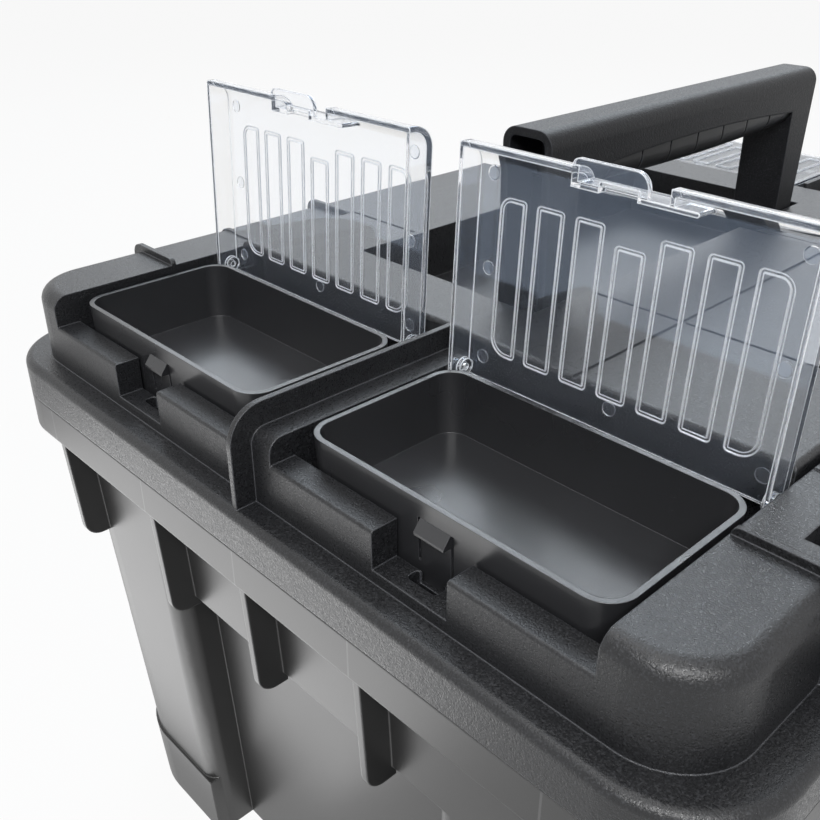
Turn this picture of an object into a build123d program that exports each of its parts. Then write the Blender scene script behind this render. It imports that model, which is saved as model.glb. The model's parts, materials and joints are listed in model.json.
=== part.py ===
"""Tool box with organiser trays in its lid, a folding handle and two front latches.

Millimetres, +Z up. X runs along the box, -Y is the latch side and +Y the hinge side.
The origin is the middle of the base, on the surface that the box stands on.
"""
import os
from math import cos, radians, sin, tan

from build123d import *

os.makedirs("parts", exist_ok=True)

# Rim, where the bucket and the lid meet
rim_length = 442.0
rim_width = 332.0
rim_corner = 31.0
seam_height = 216.6
seam_gap = 0.3

# Bucket
bucket_wall = 2.8
bucket_floor = 3.0
flange_reach = 11.4
band_height = 13.8
band_skirt = 2.6
tub_corner = 34.0
draft_angle = 2.75
upper_wall_height = 43.9
recess_depth = 17.0
end_recess_width = 146.0
side_recess_width = 200.0
pillar_round = 8.0
rib_thickness = 2.8
rib_drop = 48.0
rib_lean = 2.4
rib_toe_round = 7.0
foot_height = 34.0
foot_proud = 1.2
foot_reach = 66.0
end_rib_shares = (-0.371, -0.166, 0, 0.166, 0.371)
side_rib_shares = (-0.38, -0.14, 0, 0.14, 0.38)

# Lid shell
lid_wall = 2.6
lid_rim_height = 14.9
rim_round = 3.0
end_shelf = 9.3
side_shelf = 12.0
border_height = 28.5
border_width = 28.0
border_round = 5.5
ledge_width = 9.6
ledge_height = 16.5
ledge_round = 1.0
notch_width = 27.8
notch_floor_rise = 4.1
notch_hole_length = 11.0
notch_hole_width = 4.6
divider_height = 24.8
divider_width = 19.6
divider_round = 5.0
fin_thickness = 2.0
fin_proud = 2.6
low_fin_proud = 0.6
fin_round = 5.0
fin_inset = 82.5
fin_spacing = 42.0
centre_fin_rise = 8.1
centre_fin_setback = 2.0
centre_fin_round = 12.0
tongue_depth = 5.0
tongue_thickness = 2.0
tongue_clearance = 1.0

# Organiser trays
tray_depth = 62.3
tray_gap = 3.1
tray_seat_gap = 0.4
tray_rim_rise = 1.3
tray_wall = 1.8
tray_floor = 2.0
tray_inner_depth = 21.9
tray_corner = 9.0
tray_draft_angle = 2.0
snap_tongue_width = 11.0
snap_tongue_length = 14.0
snap_slit = 1.0
snap_wedge_reach = 2.4
snap_wedge_height = 4.0
snap_wedge_drop = 5.6

# Clear covers
cover_hinge_gap = 5.9
cover_axis_drop = 1.1
cover_lift = 0.5
cover_panel = 1.8
cover_skirt = 1.4
cover_skirt_depth = 10.3
cover_front_gap = 4.8
cover_tail = 3.8
cover_side_gap = 0.65
cover_corner = 1.0
cover_nose = 7.5
cover_open_angle = 92.5
stub_radius = 1.52
stub_depth = 2.0
stub_clearance = 0.08
stub_boss_radius = 3.0
stub_boss_length = 1.6
stub_bore_radius = 1.05
tab_width = 23.0
tab_offset = 2.5
tab_reach = 2.5
tab_thickness = 1.6
tab_near_corner = 2.0
tab_notch_corner = 4.5
tab_notch_width = 6.5
tab_wall = 1.4
tab_wall_gap = 0.7
tab_wall_run = 8.0
catch_gap = 0.6
slot_count = 7
slot_pitch = 14.2
slot_width = 9.8
slot_start = 6.7
slot_end = 58.1
slot_short = 5.0
slot_corner = 1.2
slot_edge_corner = 4.2
slot_hinge_corner = 6.0
slot_ridge = 1.0
slot_ridge_height = 0.6

# Deck panel with the handle well
deck_gap = 8.4
deck_groove = 1.4
deck_rise = 6.7
deck_wall = 2.6
deck_round = 2.0
panel_groove_width = 1.6
panel_groove_depth = 0.9
panel_groove_x = 65.0
panel_groove_y = 52.0
well_margin = 28.5
well_end_gap = 4.5
well_floor_gap = 1.0
well_front_gap = 0.8
well_back_gap = 7.7
screw_inset = 12.0
screw_radius = 1.65
screw_clearance = 0.05
screw_hole_clearance = 0.5
screw_length = 14.5
screw_head_radius = 4.0
screw_head_height = 2.2
screw_boss_radius = 5.0

# Handle
handle_width = 21.5
handle_rise = 72.7
handle_flush = 0.25
handle_wall = 3.0
handle_shoulder = 6.0
leg_top_width = 17.4
leg_foot_width = 12.5
leg_lean = 3.0
bar_height = 13.7
bar_arch = 3.0
grip_gap = 0.25
grip_tongue_height = 7.0
grip_side_setback = 1.0
grip_end_height = 6.0
grip_belly = 11.0
grip_round = 7.0
ridge_count = 7
ridge_pitch = 18.8
ridge_groove = 1.1
ridge_depth = 0.8
handle_pin_radius = 3.0
handle_pin_head_radius = 5.0
handle_pin_head = 2.0
handle_boss_wall = 2.6
running_clearance = 0.06

# Front latches
latch_pocket_width = 22.5
latch_pocket_depth = 14.8
latch_pocket_floor_drop = 19.7
latch_axis_inset = 9.0
latch_axis_drop = 12.0
latch_knuckle_radius = 5.0
latch_side_gap = 0.75
latch_rim_gap = 5.0
latch_thickness = 4.0
latch_plate_width = 34.0
latch_plate_drop = 12.0
latch_tail_drop = 20.0
latch_tail_flare = 4.0
latch_corner = 7.0
latch_hook_height = 4.0
latch_hook_lap = 2.0
latch_hook_gap = 0.5
latch_release_angle = 12.0
latch_pin_radius = 2.0
latch_pin_seat = 2.2
thumb_recess_depth = 1.2
thumb_recess_width = 22.0
thumb_recess_height = 16.0

# Back hinges
hinge_inset = 84.9
hinge_radius = 6.0
hinge_back_gap = 0.5
hinge_pin_radius = 2.5
hinge_lid_knuckle = 20.0
hinge_bucket_knuckle = 10.0
hinge_side_gap = 0.4

# Aids of the construction
overrun = 5.0
pick_tolerance = 0.5

# Levels
band_bottom = seam_height - band_height
recess_top = band_bottom - upper_wall_height
lid_bottom = seam_height + seam_gap
shelf_level = seam_height + lid_rim_height
plate_under = shelf_level - lid_wall
border_level = shelf_level + border_height
divider_level = shelf_level + divider_height
ledge_level = shelf_level + ledge_height
tray_rim_level = divider_level + tray_rim_rise
tray_floor_level = tray_rim_level - tray_inner_depth
cover_axis_level = divider_level - cover_axis_drop
cover_top = tray_rim_level + cover_lift + cover_panel - cover_axis_level
skirt_low = cover_top - cover_skirt_depth
deck_level = divider_level + deck_rise
handle_axis_level = deck_level - handle_width / 2 - handle_flush
well_floor_level = handle_axis_level - handle_width / 2 - well_floor_gap
latch_axis_level = border_level - latch_axis_drop
latch_pocket_floor = border_level - latch_pocket_floor_drop

# Places in plan
raised_length = rim_length - 2 * end_shelf
raised_width = rim_width - 2 * side_shelf
raised_corner = rim_corner - end_shelf
border_inner = raised_width / 2 - border_width
tray_front = raised_length / 2 - ledge_width
tray_back = tray_front - tray_depth
tray_mid = (tray_front + tray_back) / 2
tray_width = border_inner - divider_width / 2 - 2 * tray_gap
tray_place = divider_width / 2 + tray_gap + tray_width / 2
cover_axis = tray_back - cover_hinge_gap
cover_width = tray_width + 2 * (cover_side_gap + cover_skirt)
cover_reach = tray_front - cover_axis + cover_front_gap + cover_skirt
deck_half_length = cover_axis - deck_gap
deck_half_width = border_inner - deck_groove
well_half_length = deck_half_length - well_margin
handle_length = 2 * (well_half_length - well_end_gap)
well_front = -handle_width / 2 - well_front_gap
well_back = handle_rise + well_back_gap
latch_axis = raised_width / 2 - latch_axis_inset
fin_station = rim_length / 2 - fin_inset
latch_places = (-fin_station, fin_station)
hinge_axis = rim_width / 2 + hinge_back_gap + hinge_radius
hinge_level = lid_bottom
hinge_places = (hinge_inset - rim_length / 2, rim_length / 2 - hinge_inset)
outer_fin = fin_station + fin_spacing / 2
inner_fin = fin_station - fin_spacing / 2
arch_mid = handle_rise - bar_height
arch_end = arch_mid - bar_arch
leg_inner_top = handle_length / 2 - leg_top_width
leg_inner_foot = handle_length / 2 - leg_lean - leg_foot_width
arch_radius = (leg_inner_top**2 + bar_arch**2) / (2 * bar_arch)
handle_side_plane = Plane.XZ.shift_origin((0, 0, handle_axis_level))
handle_end_plane = Plane.YZ.shift_origin((0, 0, handle_axis_level))
screw_span_x = 2 * (deck_half_length - screw_inset)
screw_span_y = 2 * (deck_half_width - screw_inset)


def finish(builder, name):
    """Label a finished piece and write its file."""
    builder.part.label = name
    export_step(builder.part, f"parts/{name}.step")


def rounded_plate(length, width, corner, level):
    """A rounded rectangle about the origin, at a level."""
    with BuildSketch(Plane.XY.offset(level)) as plate:
        RectangleRounded(length, width, corner)
    return plate.sketch


def draw_in(level):
    """How far the drafted tub wall has come in at a level, from its top."""
    return (band_bottom - level) * tan(radians(draft_angle))


def tub_section(inset, level):
    """Outline of the tub at a level, drawn in from its outer wall."""
    back = flange_reach + inset + draw_in(level)
    return rounded_plate(rim_length - 2 * back, rim_width - 2 * back, tub_corner - inset, level)


def wall_recess(plane, half_span, width, inset):
    """A pair of recess blocks in two opposite walls, sloped like the walls."""
    wall_foot = half_span - flange_reach - draw_in(0) - recess_depth - inset
    wall_head = half_span - flange_reach - draw_in(recess_top) - recess_depth - inset
    slope = (wall_head - wall_foot) / recess_top
    with BuildPart() as blocks:
        with BuildSketch(plane):
            with BuildLine():
                Polyline(
                    (wall_foot - slope * overrun, -overrun),
                    (wall_head + slope * inset, recess_top + inset),
                    (half_span, recess_top + inset),
                    (half_span, -overrun),
                    close=True,
                )
            make_face()
            mirror(about=Plane.YZ)
        extrude(amount=width / 2 + inset, both=True)
    return blocks.part


def tub_solid(inset, bottom):
    """The tub from a level up to the band, with its recesses, drawn in from its outer wall."""
    end_edge = end_recess_width / 2 + inset
    side_edge = side_recess_width / 2 + inset
    with BuildPart() as tub:
        loft([tub_section(inset, bottom), tub_section(inset, band_bottom)])
        add(wall_recess(Plane.XZ, rim_length / 2, end_recess_width, inset), mode=Mode.SUBTRACT)
        add(wall_recess(Plane.YZ, rim_width / 2, side_recess_width, inset), mode=Mode.SUBTRACT)
        uprights = tub.edges().filter_by(lambda edge: edge.length > recess_top / 2)
        end_limit = rim_length / 2 - flange_reach - draw_in(0) - recess_depth / 2
        side_limit = rim_width / 2 - flange_reach - draw_in(0) - recess_depth / 2
        pillar_edges = uprights.filter_by(
            lambda edge: abs(abs(edge.center().Y) - end_edge) < pick_tolerance
            and abs(edge.center().X) > end_limit - inset
        )
        pillar_edges += uprights.filter_by(
            lambda edge: abs(abs(edge.center().X) - side_edge) < pick_tolerance
            and abs(edge.center().Y) > side_limit - inset
        )
        fillet(pillar_edges, pillar_round - inset)
    return tub.part


def gusset(plane, half_span):
    """Rib outlines under the band on two opposite walls."""
    root = half_span - flange_reach - draw_in(band_bottom - rib_drop) - bucket_wall / 2
    toe = band_bottom - rib_drop
    with BuildSketch(plane) as ribs:
        with BuildLine():
            FilletPolyline(
                (root, seam_height - bucket_wall),
                (half_span - band_skirt / 2, seam_height - bucket_wall),
                (half_span - band_skirt / 2, band_bottom),
                (half_span - band_skirt / 2 - rib_lean, toe),
                (root, toe),
                radius=(0, 0, 0, rib_toe_round, 0),
                close=True,
            )
        make_face()
        mirror(about=Plane.YZ)
    return ribs.sketch


def step_profile(inner, outer, top, corner):
    """Side view of a block that stands on the lid plate at both ends, rounded at its outer top."""
    with BuildSketch(Plane.XZ) as block:
        with BuildLine():
            FilletPolyline(
                (inner, plate_under),
                (inner, top),
                (outer, top),
                (outer, plate_under),
                radius=(0, 0, corner, 0),
                close=True,
            )
        make_face()
        mirror(about=Plane.YZ)
    return block.sketch


# Corner feet: the tub outline grown a little, kept only at the corners
with BuildPart() as corner_feet:
    loft([tub_section(-foot_proud, 0), tub_section(-foot_proud, foot_height)])
    with BuildSketch():
        foot_span_x = rim_length - 2 * (flange_reach + draw_in(0)) - foot_reach
        foot_span_y = rim_width - 2 * (flange_reach + draw_in(0)) - foot_reach
        with GridLocations(foot_span_x, foot_span_y, 2, 2):
            Rectangle(foot_reach + 2 * overrun, foot_reach + 2 * overrun)
    extrude(amount=foot_height, mode=Mode.INTERSECT)

# Room inside the bucket, up through the rim
with BuildPart() as bucket_room:
    add(tub_solid(bucket_wall, bucket_floor))
    extrude(tub_section(bucket_wall, band_bottom), amount=band_height + overrun)

# Bucket
with BuildPart() as bucket:
    add(tub_solid(0, 0))
    add(corner_feet.part)
    extrude(rounded_plate(rim_length, rim_width, rim_corner, band_bottom), amount=band_height)
    with BuildSketch(Plane.XY.offset(band_bottom)):
        RectangleRounded(rim_length - 2 * band_skirt, rim_width - 2 * band_skirt, rim_corner - band_skirt)
        add(tub_section(0, band_bottom).moved(Location((0, 0, -band_bottom))), mode=Mode.SUBTRACT)
    extrude(amount=band_height - bucket_wall, mode=Mode.SUBTRACT)
    for share in end_rib_shares:
        extrude(gusset(Plane.XZ.offset(share * rim_width), rim_length / 2), amount=rib_thickness / 2, both=True)
    for share in side_rib_shares:
        extrude(gusset(Plane.YZ.offset(share * rim_length), rim_width / 2), amount=rib_thickness / 2, both=True)
    for station in hinge_places:
        offset_out = hinge_lid_knuckle / 2 + hinge_side_gap + hinge_bucket_knuckle / 2
        for place in (station - offset_out, station + offset_out):
            with BuildSketch(Plane.YZ.offset(place)):
                with Locations((hinge_axis, hinge_level)):
                    Circle(hinge_radius)
                with Locations((rim_width / 2 - band_skirt / 2, seam_height)):
                    web_width = hinge_axis - rim_width / 2 + band_skirt / 2
                    Rectangle(web_width, hinge_radius - seam_gap, align=(Align.MIN, Align.MAX))
                with Locations((hinge_axis, hinge_level)):
                    Circle(hinge_pin_radius + running_clearance, mode=Mode.SUBTRACT)
            extrude(amount=hinge_bucket_knuckle / 2, both=True)
    add(bucket_room.part, mode=Mode.SUBTRACT)
finish(bucket, "bucket")

# Hollow under the lid: below the plate, and up inside the two borders round the latch pockets
with BuildPart() as lid_hollow:
    under = rounded_plate(rim_length - 2 * lid_wall, rim_width - 2 * lid_wall, rim_corner - lid_wall, lid_bottom)
    extrude(under, amount=plate_under - lid_bottom)
    with BuildSketch(Plane.XY.offset(plate_under)):
        RectangleRounded(raised_length - 2 * lid_wall, raised_width - 2 * lid_wall, raised_corner - lid_wall)
        Rectangle(raised_length, 2 * (border_inner + lid_wall), mode=Mode.SUBTRACT)
    extrude(amount=border_level - lid_wall - plate_under)
    with BuildSketch(Plane.XY.offset(latch_pocket_floor - lid_wall)):
        for place in latch_places:
            with Locations((place, -raised_width / 2)):
                Rectangle(latch_pocket_width + 2 * lid_wall, 2 * (latch_pocket_depth + lid_wall))
    extrude(amount=latch_pocket_floor_drop + lid_wall, mode=Mode.SUBTRACT)

# Lid shell
with BuildPart() as lid_shell:
    extrude(rounded_plate(rim_length, rim_width, rim_corner, lid_bottom), amount=shelf_level - lid_bottom)
    fillet(lid_shell.faces().sort_by(Axis.Z)[-1].edges(), rim_round)
    extrude(rounded_plate(raised_length, raised_width, raised_corner, shelf_level), amount=border_height)
    fillet(lid_shell.faces().sort_by(Axis.Z)[-1].edges(), border_round)
    with BuildSketch(Plane.XY.offset(shelf_level)):
        Rectangle(rim_length, 2 * border_inner)
    extrude(amount=border_height + overrun, mode=Mode.SUBTRACT)
    # Ledges in front of the trays, with the finger notches and the holes at the tongues' feet
    ledge = step_profile(tray_front + tray_seat_gap, raised_length / 2, ledge_level, ledge_round)
    extrude(ledge, amount=border_inner, both=True)
    with BuildSketch(Plane.XY.offset(shelf_level + notch_floor_rise)):
        with GridLocations(raised_length - ledge_width, 2 * tray_place, 2, 2):
            Rectangle(2 * ledge_width, notch_width)
    extrude(amount=ledge_height, mode=Mode.SUBTRACT)
    with BuildSketch(Plane.XY.offset(plate_under - overrun)):
        with GridLocations(2 * tray_front + notch_hole_width + 2 * tray_seat_gap, 2 * tray_place, 2, 2):
            RectangleRounded(notch_hole_width, notch_hole_length, notch_hole_width / 3)
    extrude(amount=ledge_height, mode=Mode.SUBTRACT)
    # Bars between the trays, each with a fin that runs down to the rim
    divider = step_profile(deck_half_length + deck_groove, raised_length / 2, divider_level, divider_round)
    extrude(divider, amount=divider_width / 2, both=True)
    fin_top = divider_level + centre_fin_rise
    centre_fin = step_profile(
        deck_half_length + deck_groove, rim_length / 2 - centre_fin_setback, fin_top, centre_fin_round
    )
    extrude(centre_fin, amount=fin_thickness / 2, both=True)
    # Fins over the two borders, a low one between two tall ones at each end
    for place, proud in ((outer_fin, fin_proud), (inner_fin, low_fin_proud), (panel_groove_x, fin_proud)):
        for end in (-1, 1):
            with BuildSketch(Plane.YZ.offset(end * place)):
                with BuildLine():
                    FilletPolyline(
                        (border_inner, plate_under),
                        (border_inner, border_level + proud),
                        (raised_width / 2 + proud, border_level + proud),
                        (raised_width / 2 + proud, plate_under),
                        radius=(0, proud, fin_round, 0),
                        close=True,
                    )
                make_face()
                mirror(about=Plane.YZ)
            extrude(amount=fin_thickness / 2, both=True)
    # Latch pockets in the front border, with the holes for the latch pins
    with BuildSketch(Plane.XY.offset(latch_pocket_floor)):
        for place in latch_places:
            with Locations((place, -raised_width / 2)):
                Rectangle(latch_pocket_width, 2 * latch_pocket_depth)
    extrude(amount=latch_pocket_floor_drop + overrun, mode=Mode.SUBTRACT)
    add(lid_hollow.part, mode=Mode.SUBTRACT)
    for place in latch_places:
        with BuildSketch(Plane.YZ.offset(place)):
            with Locations((-latch_axis, latch_axis_level)):
                Circle(latch_pin_radius + running_clearance)
        extrude(amount=latch_pocket_width / 2 + latch_pin_seat, both=True, mode=Mode.SUBTRACT)
    # Snap-in seats of the covers' stubs, open at the top by less than a stub's width
    for wall in (-border_inner, -divider_width / 2, divider_width / 2, border_inner):
        inward = stub_depth + stub_clearance
        with BuildSketch(Plane.XZ.offset(-wall)):
            with Locations((-cover_axis, cover_axis_level), (cover_axis, cover_axis_level)):
                Circle(stub_radius + stub_clearance)
        extrude(amount=inward, both=True, mode=Mode.SUBTRACT)
    # Tongue that steps down inside the bucket
    tongue_inset = bucket_wall + tongue_clearance
    with BuildSketch(Plane.XY.offset(seam_height - tongue_depth)):
        for inset, mode in ((tongue_inset, Mode.ADD), (tongue_inset + tongue_thickness, Mode.SUBTRACT)):
            back = flange_reach + inset
            RectangleRounded(rim_length - 2 * back, rim_width - 2 * back, tub_corner - inset, mode=mode)
    extrude(amount=plate_under - seam_height + tongue_depth)
    # Screw holes under the deck panel, and the hinge knuckles
    with BuildSketch(Plane.XY.offset(shelf_level)):
        with GridLocations(screw_span_x, screw_span_y, 2, 2):
            Circle(screw_radius + screw_hole_clearance)
    extrude(amount=-lid_wall, mode=Mode.SUBTRACT)
    for station in hinge_places:
        with BuildSketch(Plane.YZ.offset(station)):
            with Locations((hinge_axis, hinge_level)):
                Circle(hinge_radius)
            with Locations((rim_width / 2 - lid_wall / 2, lid_bottom)):
                web_width = hinge_axis - rim_width / 2 + lid_wall / 2
                Rectangle(web_width, hinge_radius, align=(Align.MIN, Align.MIN))
            with Locations((hinge_axis, hinge_level)):
                Circle(hinge_pin_radius + running_clearance, mode=Mode.SUBTRACT)
        extrude(amount=hinge_lid_knuckle / 2, both=True)
finish(lid_shell, "lid_shell")


def tray_section(inset, level):
    """Outline of a tray at a level, about its own middle, drawn in from its outer wall."""
    back = inset + (tray_rim_level - level) * tan(radians(tray_draft_angle))
    return rounded_plate(tray_depth - 2 * back, tray_width - 2 * back, tray_corner - inset, level)


# One organiser tray about its own middle, with its front towards +X
with BuildPart() as organiser:
    loft([tray_section(0, shelf_level), tray_section(0, tray_rim_level)])
    loft([tray_section(tray_wall, tray_floor_level), tray_section(tray_wall, tray_rim_level)], mode=Mode.SUBTRACT)
    foot_ring = tray_section(2 * tray_wall, shelf_level)
    extrude(foot_ring, amount=tray_floor_level - tray_floor - shelf_level, mode=Mode.SUBTRACT)
    # Snap tongue: two slits in the front wall, and a wedge over the tongue
    wedge_low = tray_rim_level - snap_wedge_drop - snap_wedge_height
    with BuildSketch(Plane.YZ.offset(tray_depth / 2 - 2 * tray_wall)):
        with Locations((0, wedge_low + snap_wedge_height)):
            with GridLocations(snap_tongue_width + snap_slit, 0, 2, 1):
                Rectangle(snap_slit, snap_tongue_length, align=(Align.CENTER, Align.MAX))
    extrude(amount=2 * tray_wall, mode=Mode.SUBTRACT)
    with BuildSketch(Plane.XZ):
        with BuildLine():
            Polyline(
                (tray_depth / 2 - tray_wall, wedge_low + snap_wedge_height),
                (tray_depth / 2, wedge_low + snap_wedge_height),
                (tray_depth / 2 + snap_wedge_reach, wedge_low + tray_wall / 2),
                (tray_depth / 2 + snap_wedge_reach, wedge_low),
                (tray_depth / 2 - tray_wall, wedge_low),
                close=True,
            )
        make_face()
    extrude(amount=snap_tongue_width / 2, both=True)

corners = {
    "left_back": (-1, 1),
    "left_front": (-1, -1),
    "right_back": (1, 1),
    "right_front": (1, -1),
}
for corner, (end, side) in corners.items():
    turn = 0 if end > 0 else 180
    with BuildPart() as tray:
        add(organiser.part.moved(Location((end * tray_mid, side * tray_place, 0), (0, 0, turn))))
    finish(tray, f"tray_{corner}")


def hinge_frame(end, side, angle):
    """Frame of a cover on its axis: X towards its free edge, Z out of its top, lifted by an angle."""
    lift = radians(angle)
    return Plane(
        origin=(end * cover_axis, side * tray_place, cover_axis_level),
        x_dir=(end * cos(lift), 0, sin(lift)),
        z_dir=(-end * sin(lift), 0, cos(lift)),
    )


def cover_section(plane, tail, wall):
    """Side section of a cover, drawn in from its top and its free edge, which meet in a round nose."""
    with BuildSketch(plane) as section:
        with Locations((-tail, skirt_low)):
            height = cover_top - skirt_low - wall
            Rectangle(cover_reach + tail - wall, height, align=(Align.MIN, Align.MIN))
        fillet(section.vertices().group_by(Axis.X)[-1].sort_by(Axis.Y)[-1], cover_nose - wall)
    return section.sketch


def slot_outline(number, inset):
    """A slot outline in plan, drawn in from its edge; the two end slots are rounder on their outer sides."""
    first = number == 0
    last = number == slot_count - 1
    middle = number == slot_count // 2
    place = (number - (slot_count - 1) / 2) * slot_pitch
    near = slot_start + inset
    far = slot_end - inset - (slot_short if middle else 0)
    low = place - slot_width / 2 + inset
    high = place + slot_width / 2 - inset
    rounding = (
        slot_hinge_corner if first else slot_corner,
        slot_edge_corner if first else slot_corner,
        slot_edge_corner if last else slot_corner,
        slot_hinge_corner if last else slot_corner,
    )
    with BuildSketch() as slot:
        with BuildLine():
            FilletPolyline(
                (near, low),
                (far, low),
                (far, high),
                (near, high),
                radius=[corner - inset for corner in rounding],
                close=True,
            )
        make_face()
    return slot.sketch


def build_cover(name, frame):
    """A clear cover: a panel with skirts, pivot stubs, a thumb tab and raised slot outlines."""
    side_plane = Plane(origin=frame.origin, x_dir=frame.x_dir, z_dir=-frame.y_dir)
    low_plane = frame.offset(skirt_low)
    with BuildPart() as cover:
        with BuildSketch(low_plane) as outline:
            with Locations((-cover_tail, 0)):
                Rectangle(cover_reach + cover_tail, cover_width, align=(Align.MIN, Align.CENTER))
            fillet(outline.vertices().group_by(Axis.X)[-1], cover_corner)
        extrude(amount=cover_skirt_depth)
        extrude(cover_section(side_plane, cover_tail, 0), amount=cover_width, both=True, mode=Mode.INTERSECT)
        room = cover_section(side_plane, cover_tail + overrun, cover_panel)
        extrude(room, amount=cover_width / 2 - cover_skirt, both=True, mode=Mode.SUBTRACT)
        # Pivot stubs outside the two side skirts, with hollow bosses inside them
        stub_span = cover_width / 2 + tray_gap - cover_side_gap - cover_skirt + stub_depth
        boss_start = cover_width / 2 - cover_skirt - stub_boss_length
        for way in (-1, 1):
            boss_plane = side_plane.offset(way * boss_start)
            with BuildSketch(boss_plane):
                Circle(stub_boss_radius)
            extrude(amount=way * (stub_boss_length + cover_skirt / 2))
            with BuildSketch(boss_plane):
                Circle(stub_radius)
            extrude(amount=way * (stub_span - boss_start))
            with BuildSketch(boss_plane):
                Circle(stub_bore_radius)
            extrude(amount=way * (stub_boss_length + cover_skirt), mode=Mode.SUBTRACT)
        # Thumb recess cut out of the nose, with a wall round it that runs on behind the free edge
        wall_start = tray_front - cover_axis + tab_wall_gap
        tab_start = -tab_width / 2 - tab_offset
        tab_end = tab_width / 2 - tab_offset
        recess_end = tab_end + tab_notch_width
        with BuildPart(mode=Mode.PRIVATE) as recess_wall:
            with BuildSketch(low_plane) as wall:
                with Locations((wall_start, tab_start - tab_wall)):
                    wall_length = recess_end + tab_wall - tab_start + tab_wall
                    Rectangle(cover_reach - wall_start, wall_length, align=(Align.MIN, Align.MIN))
                with Locations((wall_start, recess_end)):
                    Rectangle(tab_wall, tab_wall_run, align=(Align.MIN, Align.MIN))
                with Locations((wall_start + tab_wall / 2, recess_end + tab_wall_run)):
                    Circle(tab_wall / 2)
            extrude(amount=cover_skirt_depth)
            extrude(cover_section(side_plane, 0, 0), amount=cover_width, both=True, mode=Mode.INTERSECT)
        add(recess_wall.part)
        with BuildSketch(low_plane):
            with Locations((wall_start + tab_wall, tab_start)):
                Rectangle(cover_reach, recess_end - tab_start, align=(Align.MIN, Align.MIN))
        extrude(amount=cover_skirt_depth, mode=Mode.SUBTRACT)
        # Thumb plate across the recess, short of its end by a notch, and the room for the tray's snap wedge
        with BuildSketch(low_plane):
            with BuildLine():
                FilletPolyline(
                    (wall_start, tab_start - tab_wall),
                    (cover_reach + tab_reach, tab_start - tab_wall),
                    (cover_reach + tab_reach, tab_end),
                    (wall_start, tab_end),
                    radius=(0, tab_near_corner, tab_notch_corner, 0),
                    close=True,
                )
            make_face()
        extrude(amount=tab_thickness)
        with BuildSketch(low_plane):
            catch_length = tab_wall_gap + snap_wedge_reach + catch_gap
            with Locations((wall_start - tab_wall_gap, 0)):
                Rectangle(catch_length, snap_tongue_width + 2 * catch_gap, align=(Align.MIN, Align.CENTER))
        catch_top = tray_rim_level - snap_wedge_drop - cover_axis_level + catch_gap
        extrude(amount=catch_top - skirt_low, mode=Mode.SUBTRACT)
        # Raised slot outlines, the middle one shorter
        with BuildSketch(frame.offset(cover_top)):
            for number in range(slot_count):
                add(slot_outline(number, 0))
                add(slot_outline(number, slot_ridge), mode=Mode.SUBTRACT)
        extrude(amount=slot_ridge_height)
    finish(cover, name)


for corner, (end, side) in corners.items():
    build_cover(f"cover_{corner}", hinge_frame(end, side, cover_open_angle if end < 0 else 0))

# Deck panel: a hollow platform with the handle well sunk in it
with BuildPart() as deck_panel:
    with BuildSketch(Plane.XY.offset(shelf_level)):
        Rectangle(2 * deck_half_length, 2 * deck_half_width)
    extrude(amount=deck_level - shelf_level)
    fillet(deck_panel.faces().sort_by(Axis.Z)[-1].edges(), deck_round)
    with BuildSketch(Plane.XY.offset(shelf_level)):
        Rectangle(2 * (deck_half_length - deck_wall), 2 * (deck_half_width - deck_wall))
        well_middle = (well_front + well_back) / 2
        with Locations((0, well_middle)):
            Rectangle(
                2 * (well_half_length + deck_wall), well_back - well_front + 2 * deck_wall, mode=Mode.SUBTRACT
            )
        with GridLocations(screw_span_x, screw_span_y, 2, 2):
            Circle(screw_boss_radius, mode=Mode.SUBTRACT)
    extrude(amount=deck_level - deck_wall - shelf_level, mode=Mode.SUBTRACT)
    with BuildSketch(Plane.XY.offset(shelf_level)):
        with Locations((0, well_middle)):
            Rectangle(2 * (well_half_length + deck_wall), well_back - well_front + 2 * deck_wall)
    extrude(amount=well_floor_level - deck_wall - shelf_level, mode=Mode.SUBTRACT)
    with BuildSketch(Plane.XY.offset(well_floor_level)):
        with Locations((0, well_middle)):
            Rectangle(2 * well_half_length, well_back - well_front)
    extrude(amount=deck_level - well_floor_level, mode=Mode.SUBTRACT)
    # Panel grooves in the top, in front of the well and behind it
    with BuildSketch(Plane.XY.offset(deck_level)):
        with GridLocations(2 * panel_groove_x, 0, 2, 1):
            with Locations((0, -deck_half_width)):
                groove_length = deck_half_width + well_front - deck_wall
                Rectangle(panel_groove_width, groove_length, align=(Align.CENTER, Align.MIN))
            with Locations((0, deck_half_width)):
                groove_length = deck_half_width - well_back - deck_wall
                Rectangle(panel_groove_width, groove_length, align=(Align.CENTER, Align.MAX))
        with Locations((0, -panel_groove_y)):
            Rectangle(2 * deck_half_length, panel_groove_width)
    extrude(amount=-panel_groove_depth, mode=Mode.SUBTRACT)
    # Pilot holes for the screws, and the seats of the handle pins
    with BuildSketch(Plane.XY.offset(shelf_level)):
        with GridLocations(screw_span_x, screw_span_y, 2, 2):
            Circle(screw_radius + screw_clearance)
    extrude(amount=screw_length, mode=Mode.SUBTRACT)
    with BuildSketch(Plane.YZ):
        with Locations((0, handle_axis_level)):
            Circle(handle_pin_radius + running_clearance)
    extrude(amount=well_half_length + 2 * deck_wall, both=True, mode=Mode.SUBTRACT)
finish(deck_panel, "deck_panel")

# Deck screws, up through the lid plate
with BuildPart() as deck_screws:
    with BuildSketch(Plane.XY.offset(plate_under - screw_head_height)):
        with GridLocations(screw_span_x, screw_span_y, 2, 2):
            Circle(screw_head_radius)
    extrude(amount=screw_head_height)
    with BuildSketch(Plane.XY.offset(plate_under)):
        with GridLocations(screw_span_x, screw_span_y, 2, 2):
            Circle(screw_radius)
    extrude(amount=screw_length - lid_wall)
finish(deck_screws, "deck_screws")


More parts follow.
